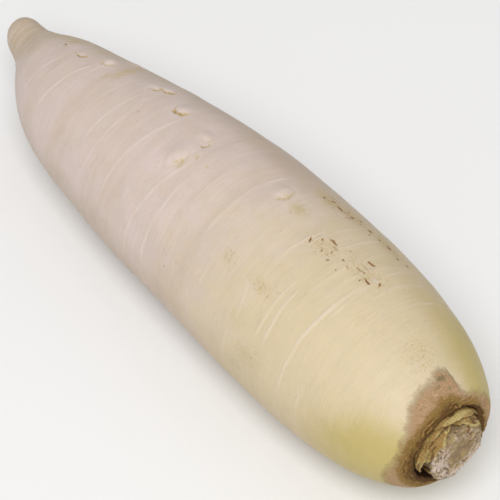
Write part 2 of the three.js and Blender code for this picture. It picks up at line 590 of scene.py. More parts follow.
def crown_shape(arc, angle, around):
    """The puckered shoulders, and the sunken band and the torn folds at the lip."""
    to_lip = LIP_ARC - arc
    circle = stacked(np.cos(angle), np.sin(angle))
    puckers = 0.55 * soft_noise(circle * 2.3, 12) * (1 - ramp(to_lip, 2, 16))
    fine_puckers = 0.22 * soft_noise(circle * 7, 13) * (1 - ramp(to_lip, 0.5, 6))
    sunken = -0.35 * (1 - ramp(to_lip, 1.5, 5))
    crumbs = 0.42 * layered_noise(around / 1.5, 14) * (1 - ramp(to_lip, 1.5, 6.0))
    folds = FOLD_RISE * crown_folds(arc, angle, around)
    crack = turn_between(angle, math.radians(-72) + 0.05 * (to_lip - 3))
    cracks = -1.5 * hump(crack, 0.045) * (1 - ramp(to_lip, 3.5, 6.0))
    notch = turn_between(angle, math.radians(40))
    cracks = cracks - 1.1 * hump(notch, 0.10) * hump(to_lip - 1.6, 1.2)
    lump_zone = hump(turn_between(angle, math.radians(92)), 0.35)
    lumps = 1.3 * lump_zone * hump(to_lip - 1.6, 1.6) * (0.6 + layered_noise(around / 2.4, 18))
    return puckers + fine_puckers + sunken + crumbs + folds + cracks + lumps


def skin_columns():
    even = np.linspace(-math.pi, math.pi, SKIN_COLUMNS, endpoint=False)
    return even - FINE_SHARE * np.sin(even) + math.radians(FINE_ANGLE)


def build_root(material):
    arc_rows = np.concatenate(
        [
            np.arange(NUB_ROW / 2, NUB_SPAN, NUB_ROW),
            np.arange(NUB_SPAN, LIP_ARC - SHOULDER_SPAN, BODY_ROW),
            np.arange(LIP_ARC - SHOULDER_SPAN, LIP_ARC, SHOULDER_ROW),
        ]
    )
    distance_rows = smooth_through(ring_arc, ring_distance, arc_rows)
    radius_rows = smooth_through(ring_arc, ring_radius, arc_rows)
    columns = skin_columns()
    arc, angle = np.meshgrid(arc_rows, columns, indexing="ij")
    distance = np.repeat(distance_rows[:, None], SKIN_COLUMNS, 1)
    radius = np.repeat(radius_rows[:, None], SKIN_COLUMNS, 1)
    around = stacked(distance, radius * np.cos(angle), radius * np.sin(angle))

    scar_height, crease, halo = rootlet_scars(distance, angle, radius)
    away_from_crown = 1 - ramp(distance, 286, 304)
    ridge_height, crest = growth_ridges(distance, angle, around)
    height = (
        broad_shape(distance, around)
        + ridge_height * away_from_crown
        + scar_height
        + tail_rings(distance, around)
        + far_shoulder(distance, angle)
        + crown_shape(arc, angle, around)
    )
    scratches = scratch_marks(distance, angle, radius)
    height -= 0.12 * ramp(scratches, 0.35, 0.8)

    slope_x = np.gradient(distance_rows, arc_rows)[:, None]
    slope_r = np.gradient(radius_rows, arc_rows)[:, None]
    skin = place_on_root(distance - height * slope_r, radius + height * slope_x, angle)
    skin = skin + (1 - ramp(distance, 0, NUB_LIFT_SPAN))[..., None] * np.array(NUB_LIFT)

    # The lip turns in, down the wall of the hollow and across its floor.
    lip_distance = (distance - height * slope_r)[-1]
    lip_radius = (radius + height * slope_x)[-1]
    inner = []
    for drop, inward in WALL_ROWS:
        turns = stacked(np.cos(columns) * 6, np.sin(columns) * 6, drop)
        fine_turns = stacked(np.cos(columns) * 17, np.sin(columns) * 17, drop)
        wall = WALL_RADIUS + 0.35 * soft_noise(turns, 21) + 0.45 * soft_noise(fine_turns, 23)
        wall = wall - 2.5 * hump(turn_between(columns, math.radians(-84)), 0.36)
        row_radius = lip_radius + (wall - lip_radius) * inward
        inner.append(place_on_root(lip_distance + drop, row_radius, columns))
    for floor_radius in FLOOR_RINGS:
        turns = stacked(np.cos(columns), np.sin(columns)) * floor_radius / 2
        uneven = 0.25 * soft_noise(turns, 22)
        inner.append(place_on_root(HOLLOW_FLOOR + uneven, floor_radius + 0 * columns, columns))
    inner = np.array(inner)
    grid = np.concatenate([skin, inner])
    rows = len(grid)

    tip = place_on_root(np.array([0.0]), 0.0, 0.0) + np.array(NUB_LIFT)
    floor_middle = place_on_root(np.array([HOLLOW_FLOOR]), 0.0, 0.0)
    points = np.concatenate([grid.reshape(-1, 3), tip, floor_middle])
    points[:, 2] = np.maximum(points[:, 2], 0)
    faces = grid_faces(rows, SKIN_COLUMNS)
    faces += fan_faces(len(points) - 2, 0, SKIN_COLUMNS, True)
    faces += fan_faces(len(points) - 1, (rows - 1) * SKIN_COLUMNS, SKIN_COLUMNS, False)

    cork = edge_distance(CORK_EDGE, arc, angle)
    dark = edge_distance(DARK_EDGE, arc, angle) - 3.2 * hump(turn_between(angle, FAR_RIM), 0.5)
    folds = crown_folds(arc, angle, around)
    to_far_side = -turn_between(angle, PALE_TONGUE)
    # The pale tongue that reaches the crown leans a little towards the top and narrows.
    at_crown = ramp(distance, 274, 300)
    tongue = PALE_TONGUE - math.radians(9) * at_crown
    off_tongue = abs(turn_between(angle, tongue)) + 0.12 * at_crown
    green = ramp(distance, GREEN_START, GREEN_END) * ramp(off_tongue, 0.35, 1.25)
    early = 7 * layered_noise(around / 24, 31) - 12 * np.sin(to_far_side)
    # Partly dust and partly painted shade: the skin turns duller away from the pale tongue, down both sides
    # and more so on the far side.
    far_side = ramp(to_far_side, 0.2, 1.2) * (1 - ramp(to_far_side, 2.4, 3.1))
    uneven_middle = abs(to_far_side) + 0.18 * soft_noise(around / 18, 33)
    dust_and_flank_shade = ramp(uneven_middle + 0.45 * far_side, 0.85, 1.65)
    cream = np.clip((distance - CREAM_START + early) / CREAM_SPAN, 0, 1)
    scuffs = patches(distance, angle, radius, SCUFF_PATCHES)
    smudges = patches(distance, angle, radius, YELLOW_SMUDGES)
    tail_tan = 1 - ramp(distance + 5 * soft_noise(around / 8, 32) - 26 * far_side, 14, 42)
    grey_spot = patches(distance, angle, radius, GREY_SPOTS)

    def with_inner(value, fill):
        inside = np.full((len(inner), SKIN_COLUMNS), float(fill))
        return np.concatenate([np.concatenate([value, inside]).ravel(), [value[0].mean(), fill]])

    # Painted shade: the wall darkens from the lip down.
    shade = np.ones((len(inner), SKIN_COLUMNS))
    shade[: len(WALL_SHADE)] = np.array(WALL_SHADE)[:, None]
    shade[:PALER_ROWS] *= 1 - 0.6 * hump(turn_between(columns, FAR_RIM), 0.6)
    values = {
        "crease": with_inner(crease, 0),
        "halo": with_inner(halo, 0),
        "scuff_zone": with_inner(scuffs, 0),
        "scratch": with_inner(scratches, 0),
        "cork": with_inner(cork, 12),
        "dark_brown": with_inner(dark, 8),
        # Painted shade down the hollow's wall and across its floor.
        "hollow": np.concatenate([np.zeros(skin[..., 0].size), shade.ravel(), [0, 1]]),
        "folds": with_inner(folds, -1),
        "crest": with_inner(crest * away_from_crown, 0),
        "smudge": with_inner(smudges, 0),
        "grey_spot": with_inner(grey_spot, 0),
        "dust_and_flank_shade": with_inner(dust_and_flank_shade, 0),
        "green": with_inner(green, 0),
        "cream": with_inner(cream, 1),
        "tail_tan": with_inner(tail_tan, 0),
    }
    wall_around = stacked(HOLLOW_FLOOR, lip_radius * np.cos(columns), lip_radius * np.sin(columns))
    inner_around = np.repeat(wall_around[None], len(inner), 0)
    skin_place = np.concatenate(
        [np.concatenate([around, inner_around]).reshape(-1, 3), [[0, 0, 0], [HOLLOW_FLOOR, 0, 0]]]
    )
    return make_piece(
        "daikon_root", points, faces, material, "root", values, {"skin_place": skin_place}
    )


# ---- Shape of the stump -------------------------------------------------------------------------

STUMP_COLUMNS = 240
STUMP_SIDE_ROWS = 34
STUMP_FACE_ROWS = 73
STUMP_RIM_DEPTH = 1.2
# How far the torn cut face lies below the plain solid's.
STUMP_FACE_SINK = 0.45
# Clefts that run in from the rim: the angle of each, and the radius where it ends.
STUMP_CLEFTS = [(-24, 8), (16, 10), (58, 9), (100, 8), (150, 10), (-128, 8)]
# Where the scar of a young stalk lies on the cut face: y and z from its middle.
STALK_SCAR = (5.3, 7.2)
# The torn rim of the cut face: [angle, radius].
STUMP_RIM = [
    (-180, 12.6),
    (-172, 10.9),
    (-150, 10.8),
    (-135, 11.5),
    (-110, 12.5),
    (-70, 12.7),
    (-30, 12.8),
    (0, 12.6),
    (30, 12.8),
    (60, 13.2),
    (100, 13.5),
    (135, 13.9),
    (150, 14.2),
    (160, 13.6),
    (168, 14.0),
    (174, 13.9),
    (180, 12.6),
]


def read_stump():
    points = node_points("stem_stump")
    foot = points[:, 0].min() - tail_tip
    face = points[:, 0].max() - tail_tip
    low = points[abs(points[:, 0] - points[:, 0].min()) < 0.01]
    return foot, face, np.ptp(low[:, 1]) / 2


def face_relief(y, z):
    """Height of the torn cut face; how pale its raised fibres are, partly fresh flesh and partly painted
    highlight; and how brown its deep clefts and the gaps between fibres are, partly dried tissue and partly
    painted shade.
    """
    radius = np.hypot(y, z)
    angle = np.arctan2(-y, z)
    flat = stacked(y, z)
    uneven = radius + 1.6 * soft_noise(flat / 4.4, 61) + 0.7 * soft_noise(flat / 1.7, 62)
    shelves = (
        -0.6 * (1 - ramp(uneven, 2.6, 4.6))
        + 0.35 * hump(uneven - 6.0, 1.5)
        - 0.35 * hump(uneven - 8.3, 0.7)
        + 0.40 * hump(uneven - 9.9, 1.0)
        - 0.35 * hump(uneven - 11.8, 0.6)
    )
    circle = stacked(np.cos(angle) * 2.4, np.sin(angle) * 2.4, uneven / 0.62)
    strands = 0.48 * (1 - 2.4 * abs(soft_noise(circle, 63))) * ramp(radius, 1.5, 4)
    spokes = stacked(np.cos(angle) * 17, np.sin(angle) * 17, radius / 3.0)
    tears = 0.22 * (1 - 2.2 * abs(soft_noise(spokes, 67))) * ramp(radius, 6, 10)
    crumbs = 0.22 * layered_noise(flat / 1.1, 64)
    clefts = np.zeros(radius.shape)
    for turn, start in STUMP_CLEFTS:
        bent = math.radians(turn) + 0.16 * soft_noise(flat / 2.2, 65)
        line = radius * turn_between(angle, bent)
        clefts = np.maximum(clefts, hump(line, 0.45) * ramp(radius, start, start + 3))
    stalk = np.hypot(y - STALK_SCAR[0], z - STALK_SCAR[1]) + 0.5 * soft_noise(flat / 1.5, 68)
    stalk_ring = 0.5 * hump(stalk - 2.5, 0.6) - 0.7 * hump(stalk, 1.1)
    around_stalk = ramp(stalk, 2.0, 4.2)
    height = (shelves + strands + tears) * around_stalk + crumbs - 0.9 * clefts + stalk_ring
    # Paler on the raised fibres and shelves: partly fresh flesh, partly painted highlight. It is stronger
    # towards the rim and the lower side.
    pale = ramp(0.7 * shelves + 1.3 * strands + tears + 0.8 * crumbs + stalk_ring, -0.45, 0.75)
    lower = ramp(np.cos(angle - math.radians(150)), -0.7, 0.7)
    pale = pale * (0.2 + 0.8 * ramp(radius, 3.5, 8)) * (0.45 + 0.55 * lower)
    # Browner in the clefts and between the strands: partly dried tissue, partly painted shade.
    between = ramp(-strands - 0.5 * tears, -0.1, 0.3)
    brown = clefts + 0.8 * hump(stalk, 1.4) + (0.25 + 0.4 * hump(uneven - 8.3, 1.0)) * between
    brown = brown + 0.35 * hump(stalk - 4.2, 1.2)
    return height, pale, np.clip(brown, 0, 1)


def build_stump(material):
    foot, face, radius = read_stump()
    columns = np.linspace(0, 2 * math.pi, STUMP_COLUMNS, endpoint=False)
    circle = stacked(np.cos(columns), np.sin(columns))
    rows, pale_rows, brown_rows = [], [], []
    rim_angles = np.radians([turn for turn, _ in STUMP_RIM])
    rim_radii = [rim for _, rim in STUMP_RIM]
    top_radius = np.interp(turn_between(columns, 0), rim_angles, rim_radii)
    for share in np.linspace(0, 1, STUMP_SIDE_ROWS):
        distance = foot + share * (face - STUMP_RIM_DEPTH - foot)
        waist = radius - 1.1 * ramp(share, 0.1, 0.55)
        swell = waist + (top_radius - waist) * ramp(share, 0.72, 1)
        streaks = np.concatenate([circle * 14, circle[:, :1] * 0 + distance / 3.2], -1)
        row_radius = swell + 0.28 * (1 - 2 * abs(soft_noise(streaks, 71))) * ramp(share, 0, 0.1)
        rows.append(place_on_root(distance + 0 * columns, row_radius, columns))
        pale_rows.append(np.full(STUMP_COLUMNS, 0.25 * share))
        brown_rows.append(np.full(STUMP_COLUMNS, 0.85 - 0.5 * share))
    ragged = 0.45 * layered_noise(circle * 5, 72) + 0.4 * soft_noise(circle * 17, 73)
    for share in np.linspace(0, 1, STUMP_FACE_ROWS + 1)[:-1]:
        rim = 1 - ramp(share, 0.0, 0.13)
        spread = 1 - share
        row_radius = (top_radius + ragged * ramp(spread, 0.5, 1)) * spread
        y = -row_radius * np.sin(columns)
        z = row_radius * np.cos(columns)
        relief, pale, brown = face_relief(y, z)
        rounding = STUMP_RIM_DEPTH * rim**1.6
        distance = face - STUMP_FACE_SINK - rounding + relief * (1 - 0.5 * rim)
        rows.append(place_on_root(distance, row_radius, columns))
        pale_rows.append(pale)
        brown_rows.append(brown)
    grid = np.array(rows)
    bottom = place_on_root(np.array([foot]), 0.0, 0.0)
    relief, pale, brown = face_relief(np.zeros(1), np.zeros(1))
    middle = place_on_root(face - STUMP_FACE_SINK + relief, 0.0, 0.0)
    points = np.concatenate([grid.reshape(-1, 3), bottom, middle])
    faces = grid_faces(len(rows), STUMP_COLUMNS)
    faces += fan_faces(len(points) - 2, 0, STUMP_COLUMNS, True)
    faces += fan_faces(len(points) - 1, (len(rows) - 1) * STUMP_COLUMNS, STUMP_COLUMNS, False)
    values = {
        "pale": np.concatenate([np.array(pale_rows).ravel(), [0], pale]),
        "brown": np.concatenate([np.array(brown_rows).ravel(), [1], brown]),
    }
    return make_piece(
        "cut_stem_stump", points, faces, material, "stem_stump", values
    )


# ---- Shape of the leaf bases --------------------------------------------------------------------

BASE_SECTION = 52
BASE_STEP = 0.24
# How far the torn tops stand above the plain solids.
INNER_RISES = (1.0, 1.0, -1.6)
OUTER_RISES = (2.0, 2.0, 1.0)
# How far the torn tops lean out towards the wall of the hollow.
INNER_LEAN = 0.2
OUTER_LEAN = 1.3
# What share of its height a base loses towards its two ends.
END_DROP = 0.38
# How much the bases narrow for each millimetre that they rise.
BASE_TAPER = 0.008


def read_crescent(node):
    """A CAD leaf base's middle angle and reach, inner and outer radius, foot and top."""
    points = node_points(node)
    distance = points[:, 0] - tail_tip
    middle_y, middle_z = middle_at(distance)
    y, z = points[:, 1] - middle_y, points[:, 2] - middle_z
    middle = math.atan2(-y.mean(), z.mean())
    turns = turn_between(np.arctan2(-y, z), middle)
    radius = np.hypot(y, z)
    foot = distance < distance.min() + 0.1
    return middle, turns.max(), radius[foot].min(), radius[foot].max(), distance.min(), distance.max()


def build_leaf_base(name, node, material, rise_above, lean, seed):
    middle, reach, inner, outer, foot, top = read_crescent(node)
    top = top + rise_above
    steps = int(2 * reach * outer / BASE_STEP)
    share = np.linspace(-1, 1, steps)
    angle = middle + reach * share
    swell = np.sqrt(np.clip(1 - share**2, 0, 1)) ** 0.8
    length = outer * angle
    ragged = 0.75 * soft_noise(stacked(length / 3.4, 0), seed)
    ragged = ragged + 0.35 * soft_noise(stacked(length / 1.0, 0), seed + 1)
    ragged = np.minimum(ragged, 0.45)
    height = (top - foot) * (1 - END_DROP * share**2) + ragged
    half_thickness = 0.12 + (outer - inner) / 2 * swell
    middle_radius = (outer + inner) / 2
    # The section runs up the inner face, over the top and down the outer face.
    turn = np.linspace(0, 1, BASE_SECTION)
    sideways = -np.cos(math.pi * ramp(turn, 0.34, 0.66))
    rise = np.sin(math.pi / 2 * np.clip(np.minimum(turn, 1 - turn) / 0.42, 0, 1))
    rows, fresh_rows, cleft_rows, depths, lengths = [], [], [], [], []
    for index in range(steps):
        along = np.full(BASE_SECTION, length[index])
        up = height[index] * rise
        ribs = soft_noise(stacked(along / 0.62, up / 6, sideways), seed + 2)
        layers = soft_noise(stacked(along / 4.5, up / 0.9, sideways), seed + 3)
        curl = 0.5 * ramp(rise, 0.55, 1) * soft_noise(stacked(along / 5, 0), seed + 4)
        thick = half_thickness[index] * sideways * (1 - 0.3 * ramp(rise, 0.4, 1))
        radius = middle_radius - BASE_TAPER * middle_radius * up + thick
        radius = radius + (0.24 * ribs + 0.36 * layers) * swell[index] + curl
        radius = radius + lean * swell[index] * ramp(up, 2.0, 6.5)
        top_crumb = 0.2 * soft_noise(stacked(along / 0.6, sideways * 1.4), seed + 5)
        distance = foot + up + top_crumb * ramp(rise, 0.9, 1)
        rows.append(place_on_root(distance, radius, angle[index]))
        flecks = soft_noise(stacked(along / 4.4, up / 1.5, sideways * 0.6), seed + 6)
        fresh_rows.append(ramp(flecks + 0.38 * ramp(rise, 0.6, 1.0), 0.0, 0.6) * swell[index])
        cleft_rows.append(ramp(-layers, 0.2, 0.7))
        depths.append(up)
        lengths.append(stacked(along, up, sideways))
    points = np.array(rows).reshape(-1, 3)
    faces = []
    for index in range(steps - 1):
        for section in range(BASE_SECTION):
            after = (section + 1) % BASE_SECTION
            lower = index * BASE_SECTION
            upper = lower + BASE_SECTION
            faces.append((lower + section, upper + section, upper + after, lower + after))
    faces.append(tuple(range(BASE_SECTION)))
    faces.append(tuple(range(len(points) - 1, len(points) - 1 - BASE_SECTION, -1)))
    values = {
        "fresh": np.array(fresh_rows),
        "cleft": np.array(cleft_rows),
        "height": np.array(depths),
    }
    return make_piece(
        name, points, faces, material, node, values,
        {"fibre_place": np.array(lengths).reshape(-1, 3)},
    )


# ---- Shader nodes -------------------------------------------------------------------------------


class Nodes:
    """Adds nodes to a material or a group. A value is a socket to link, a number or a colour."""

    def __init__(self, tree):
        self.tree = tree

    def set(self, socket, value):
        if isinstance(value, bpy.types.NodeSocket):
            self.tree.links.new(value, socket)
        elif socket.type == "RGBA":
            socket.default_value = (*value, 1)
        else:
            socket.default_value = value

    def add(self, kind, inputs=None, **settings):
        """A node with its settings, and its inputs by name or by number."""
        node = self.tree.nodes.new(kind)
        for name, value in settings.items():
            setattr(node, name, value)
        for name, value in (inputs or {}).items():
            self.set(node.inputs[name], value)
        return node

    def use(self, group, **inputs):
        """A node group's outputs, once its inputs are set."""
        return self.add("ShaderNodeGroup", inputs, node_tree=group).outputs

    def attribute(self, name, output="Fac"):
        return self.add("ShaderNodeAttribute", attribute_name=name).outputs[output]

    def noise(self, place, scale, detail=2.0, roughness=0.5):
        inputs = {"Vector": place, "Scale": scale, "Detail": detail, "Roughness": roughness}
        return self.add("ShaderNodeTexNoise", inputs).outputs["Fac"]

    def stretched(self, place, scale):
        return self.add("ShaderNodeVectorMath", {0: place, 1: scale}, operation="MULTIPLY").outputs[0]

    def math(self, operation, *values):
        return self.add("ShaderNodeMath", dict(enumerate(values)), operation=operation).outputs[0]

    def plus(self, first, second):
        return self.math("ADD", first, second)

    def minus(self, first, second):
        return self.math("SUBTRACT", first, second)

    def times(self, first, second):
        return self.math("MULTIPLY", first, second)

    def times_plus(self, value, factor, offset):
        return self.math("MULTIPLY_ADD", value, factor, offset)

    def uneven(self, value, noise, amount):
        """A value raised and lowered by a noise, by up to half the amount."""
        return self.plus(value, self.times_plus(noise, amount, -amount / 2))

    def mask(self, value, low, high):
        """0 where the value is at low, 1 where it is at high, and smooth between them."""
        inputs = {"Value": value, "From Min": low, "From Max": high}
        node = self.add("ShaderNodeMapRange", inputs, interpolation_type="SMOOTHSTEP")
        return node.outputs["Result"]

    def paint(self, base, tone, share, strength=None):
        """A tone laid over a base colour, as far as its share and strength say."""
        if strength is not None:
            share = self.times(share, strength)
        return self.add("ShaderNodeMix", {0: share, 6: base, 7: tone}, data_type="RGBA").outputs[2]

    def mottled(self, base, place, scale, strength):
        inputs = {"Color": base, "Place": place, "Scale": scale, "Strength": strength}
        return self.use(mottling, **inputs)["Color"]

    def specks(self, place, scale, size, share):
        return self.use(specks, Place=place, Scale=scale, Size=size, Share=share)["Mask"]

    def bumps(self, heights):
        """The normal of bumps laid on each other, each a height and its depth in millimetres."""
        normal = None
        for height, depth in heights:
            inputs = {"Height": height, "Strength": 1.0, "Distance": depth * MM}
            if normal is not None:
                inputs["Normal"] = normal
            normal = self.add("ShaderNodeBump", inputs).outputs["Normal"]
        return normal


def new_group(name, inputs, outputs):
    """The nodes, the named inputs and the named outputs of a new group."""
    tree = bpy.data.node_groups.new(name, "ShaderNodeTree")
    for socket_name, kind, value in inputs:
        socket = tree.interface.new_socket(socket_name, in_out="INPUT", socket_type=kind)
        if value is not None:
            socket.default_value = value
    for socket_name, kind in outputs.items():
        tree.interface.new_socket(socket_name, in_out="OUTPUT", socket_type=kind)
    return Nodes(tree), tree.nodes.new("NodeGroupInput").outputs, tree.nodes.new("NodeGroupOutput").inputs


FLOAT = "NodeSocketFloat"
VECTOR = "NodeSocketVector"
COLOUR = "NodeSocketColor"

# How far clouds turn the hue, for each share that they lighten a colour.
CLOUD_HUE_TURN = -0.06
# How far a speck's place wanders, the least share of its size, and the width of its soft edge.
SPECK_WANDER = 0.7
SPECK_LEAST = 0.35
SPECK_EDGE = (-0.015, 0.045)
# How steeply fibres rise, and where the gap beside one is deepest.
FIBRE_STEEPNESS = 5.0
FIBRE_GAP_END = 1.3


def make_mottling():
    """Clouds of lighter and darker, warmer and cooler tone laid over a colour."""
    nodes, inputs, outputs = new_group(
        "mottling",
        [
            ("Color", COLOUR, None),
            ("Place", VECTOR, None),
            ("Scale", FLOAT, 0.1),
            ("Strength", FLOAT, 0.1),
        ],
        {"Color": COLOUR},
    )
    cloud = nodes.noise(inputs["Place"], inputs["Scale"], 5.0, 0.62)
    change = nodes.times(nodes.minus(cloud, 0.5), inputs["Strength"])
    toned = nodes.add(
        "ShaderNodeHueSaturation",
        {
            "Color": inputs["Color"],
            "Value": nodes.plus(change, 1.0),
            "Hue": nodes.times_plus(change, CLOUD_HUE_TURN, 0.5),
        },
    )
    nodes.set(outputs["Color"], toned.outputs["Color"])
    return nodes.tree


def make_specks():
    """Scattered small specks: a mask that is 1 inside a speck."""
    nodes, inputs, outputs = new_group(
        "specks",
        [
            ("Place", VECTOR, None),
            ("Scale", FLOAT, 0.3),
            ("Size", FLOAT, 0.12),
            ("Share", FLOAT, 0.3),
        ],
        {"Mask": FLOAT},
    )
    wander = nodes.add("ShaderNodeTexNoise", {"Vector": inputs["Place"], "Scale": 1.7, "Detail": 2.0})
    place = nodes.add(
        "ShaderNodeVectorMath",
        {0: wander.outputs["Color"], 1: (SPECK_WANDER,) * 3, 2: inputs["Place"]},
        operation="MULTIPLY_ADD",
    ).outputs[0]
    cells = nodes.add("ShaderNodeTexVoronoi", {"Vector": place, "Scale": inputs["Scale"]}, feature="F1")
    chance = nodes.add("ShaderNodeSeparateColor", {"Color": cells.outputs["Color"]}).outputs
    present = nodes.math("LESS_THAN", chance[0], inputs["Share"])
    size = nodes.times(inputs["Size"], nodes.plus(chance[1], SPECK_LEAST))
    inside = nodes.mask(nodes.minus(size, cells.outputs["Distance"]), *SPECK_EDGE)
    nodes.set(outputs["Mask"], nodes.times(inside, present))
    return nodes.tree


def make_fibres():
    """Long fibres: a height and a mask of the gaps between them."""
    nodes, inputs, outputs = new_group(
        "fibres",
        [("Place", VECTOR, None), ("Scale", FLOAT, 2.0), ("Sharpness", FLOAT, 0.5)],
        {"Height": FLOAT, "Gaps": FLOAT},
    )
    strands = nodes.noise(inputs["Place"], inputs["Scale"], 4.0, 0.6)
    ridge = nodes.math("ABSOLUTE", nodes.times(nodes.minus(strands, 0.5), FIBRE_STEEPNESS))
    gap_start = nodes.times(inputs["Sharpness"], 0.8)
    nodes.set(outputs["Height"], nodes.minus(1.0, ridge))
    nodes.set(outputs["Gaps"], nodes.mask(ridge, gap_start, FIBRE_GAP_END))
    return nodes.tree


mottling = make_mottling()
specks = make_specks()
fibres = make_fibres()


def new_material(name):
    """A material with only a Principled shader and its output: the material, its nodes, its shader."""
    material = bpy.data.materials.new(name)
    material.use_nodes = True
    shader = next(node for node in material.node_tree.nodes if node.type == "BSDF_PRINCIPLED")
    return material, Nodes(material.node_tree), shader


def finish_shader(nodes, shader, base, roughness, heights, flesh):
    """Links a surface's colour, roughness and bumps. Flesh is how light soaks in: how much of it,
    how far each colour reaches, and the depth in millimetres."""
    nodes.set(shader.inputs["Base Color"], base)
    nodes.set(shader.inputs["Roughness"], roughness)
    nodes.set(shader.inputs["Normal"], nodes.bumps(heights))
    share, reach, depth = flesh
    shader.inputs["Subsurface Weight"].default_value = share
    shader.inputs["Subsurface Radius"].default_value = reach
    shader.inputs["Subsurface Scale"].default_value = depth * MM


# ---- Materials ----------------------------------------------------------------------------------

# How strongly the studio lights a surface that faces the camera.
LIGHT_LEVEL = 1.20


def colour(red, green, blue):
    """The light that a surface reflects, for the screen colour that it has in the studio."""
    shares = []
    for value in (red, green, blue):
        share = ((value / 255 + 0.055) / 1.055) ** 2.4
        shares.append(share / LIGHT_LEVEL)
    return tuple(shares)


WHITE_SKIN = colour(218, 200, 189)
ROSY_SKIN = colour(221, 203, 195)
BEIGE_SKIN = colour(210, 191, 175)
# The dull tones down the sides, on white and on cream skin, are partly dust and partly painted shade.
DUST_AND_SHADE_SKIN = colour(202, 182, 163)
CREAM_SKIN = colour(220, 203, 169)
DUST_AND_SHADE_CREAM = colour(211, 191, 154)
GREEN_SKIN = colour(199, 181, 116)
TAIL_SKIN = colour(197, 177, 150)
SCAR_PALE = colour(231, 216, 208)
SCAR_YELLOW = colour(203, 181, 136)
SCUFF_STAIN = colour(182, 156, 108)
SCAR_BROWN = colour(170, 130, 84)
SCRATCH_BROWN = colour(124, 90, 52)
CORK_PALE = colour(220, 196, 154)
CORK_TAN = colour(206, 166, 126)
CORK_OLIVE = colour(172, 148, 96)
CORK_GREY = colour(160, 142, 104)
CORK_MUSTARD = colour(166, 132, 72)
CORK_DARK = colour(110, 76, 36)
# Painted highlight on the crests of the folds round the lip.
FOLD_CREST_HIGHLIGHT = colour(204, 170, 120)
HOLLOW_PAINTED_SHADE = colour(66, 38, 16)
STUMP_GREY = colour(156, 132, 98)
STUMP_PALE = colour(216, 196, 178)
STUMP_BROWN = colour(132, 96, 54)
STUMP_OLIVE = colour(174, 150, 102)
BASE_BROWN = colour(168, 134, 72)
BASE_DARK = colour(100, 68, 30)
BASE_YELLOW = colour(206, 187, 122)

SKIN_FLESH = (0.18, (1.0, 0.7, 0.45), 3.0)
STUMP_FLESH = (0.1, (1.0, 0.6, 0.4), 1.5)
BASE_FLESH = (0.1, (1.0, 0.8, 0.3), 1.5)
SKIN_SPECULAR = 0.22


def skin_tone(nodes, place, ringwise, blotches):
    """White skin with rosy and beige clouds, which turns cream and then green towards the crown,
    duller down the sides, partly dust and partly painted shade, and tan at the tail."""
    rosy = nodes.mask(nodes.noise(place, 0.045, 4.0, 0.6), 0.44, 0.62)
    base = nodes.paint(WHITE_SKIN, ROSY_SKIN, rosy)
    beige = nodes.mask(nodes.noise(ringwise, 0.10, 4.0, 0.6), 0.45, 0.75)
    base = nodes.paint(base, BEIGE_SKIN, beige, 0.7)
    # Duller sides: partly dust, partly painted shade.
    dust_and_flank_shade = nodes.attribute("dust_and_flank_shade")
    base = nodes.paint(base, DUST_AND_SHADE_SKIN, dust_and_flank_shade)
    cream = nodes.uneven(nodes.attribute("cream"), blotches, 0.9)
    cream_tone = nodes.paint(CREAM_SKIN, DUST_AND_SHADE_CREAM, dust_and_flank_shade)
    base = nodes.paint(base, cream_tone, nodes.mask(cream, -0.05, 1.05))
    green = nodes.uneven(nodes.attribute("green"), blotches, 0.5)
    base = nodes.paint(base, GREEN_SKIN, nodes.mask(green, 0.0, 1.0))
    tail_rings = nodes.mask(nodes.noise(ringwise, 0.9, 3.0), 0.35, 0.65)
    tail_share = nodes.times(nodes.attribute("tail_tan"), nodes.times_plus(tail_rings, 0.55, 0.45))
    base = nodes.paint(base, TAIL_SKIN, tail_share)
    base = nodes.mottled(base, place, 0.09, 0.12)
    return nodes.mottled(base, ringwise, 0.22, 0.09)


def growth_lines(nodes, base, place, ringwise):
    """Fine rings that catch a little dust, and crests painted paler, partly pale skin and partly painted
    highlight: the colour, and heights with depths.
    """
    lines = nodes.noise(ringwise, 0.75, 4.0, 0.55)
    off_line = nodes.math("ABSOLUTE", nodes.minus(lines, 0.5))
    line = nodes.minus(1.0, nodes.mask(off_line, 0.0, 0.035))
    dusted = nodes.mask(nodes.noise(place, 0.06, 2.0), 0.45, 0.62)
    base = nodes.paint(base, SCAR_YELLOW, nodes.times(line, dusted), 0.22)
    # Paler crests: partly pale skin, partly painted highlight on the ridges.
    crest = nodes.attribute("crest")
    base = nodes.paint(base, SCAR_PALE, crest, 0.55)
    return base, [(line, 0.035), (lines, 0.08), (crest, 0.10), (nodes.noise(place, 2.2, 3.0, 0.6), 0.05)]


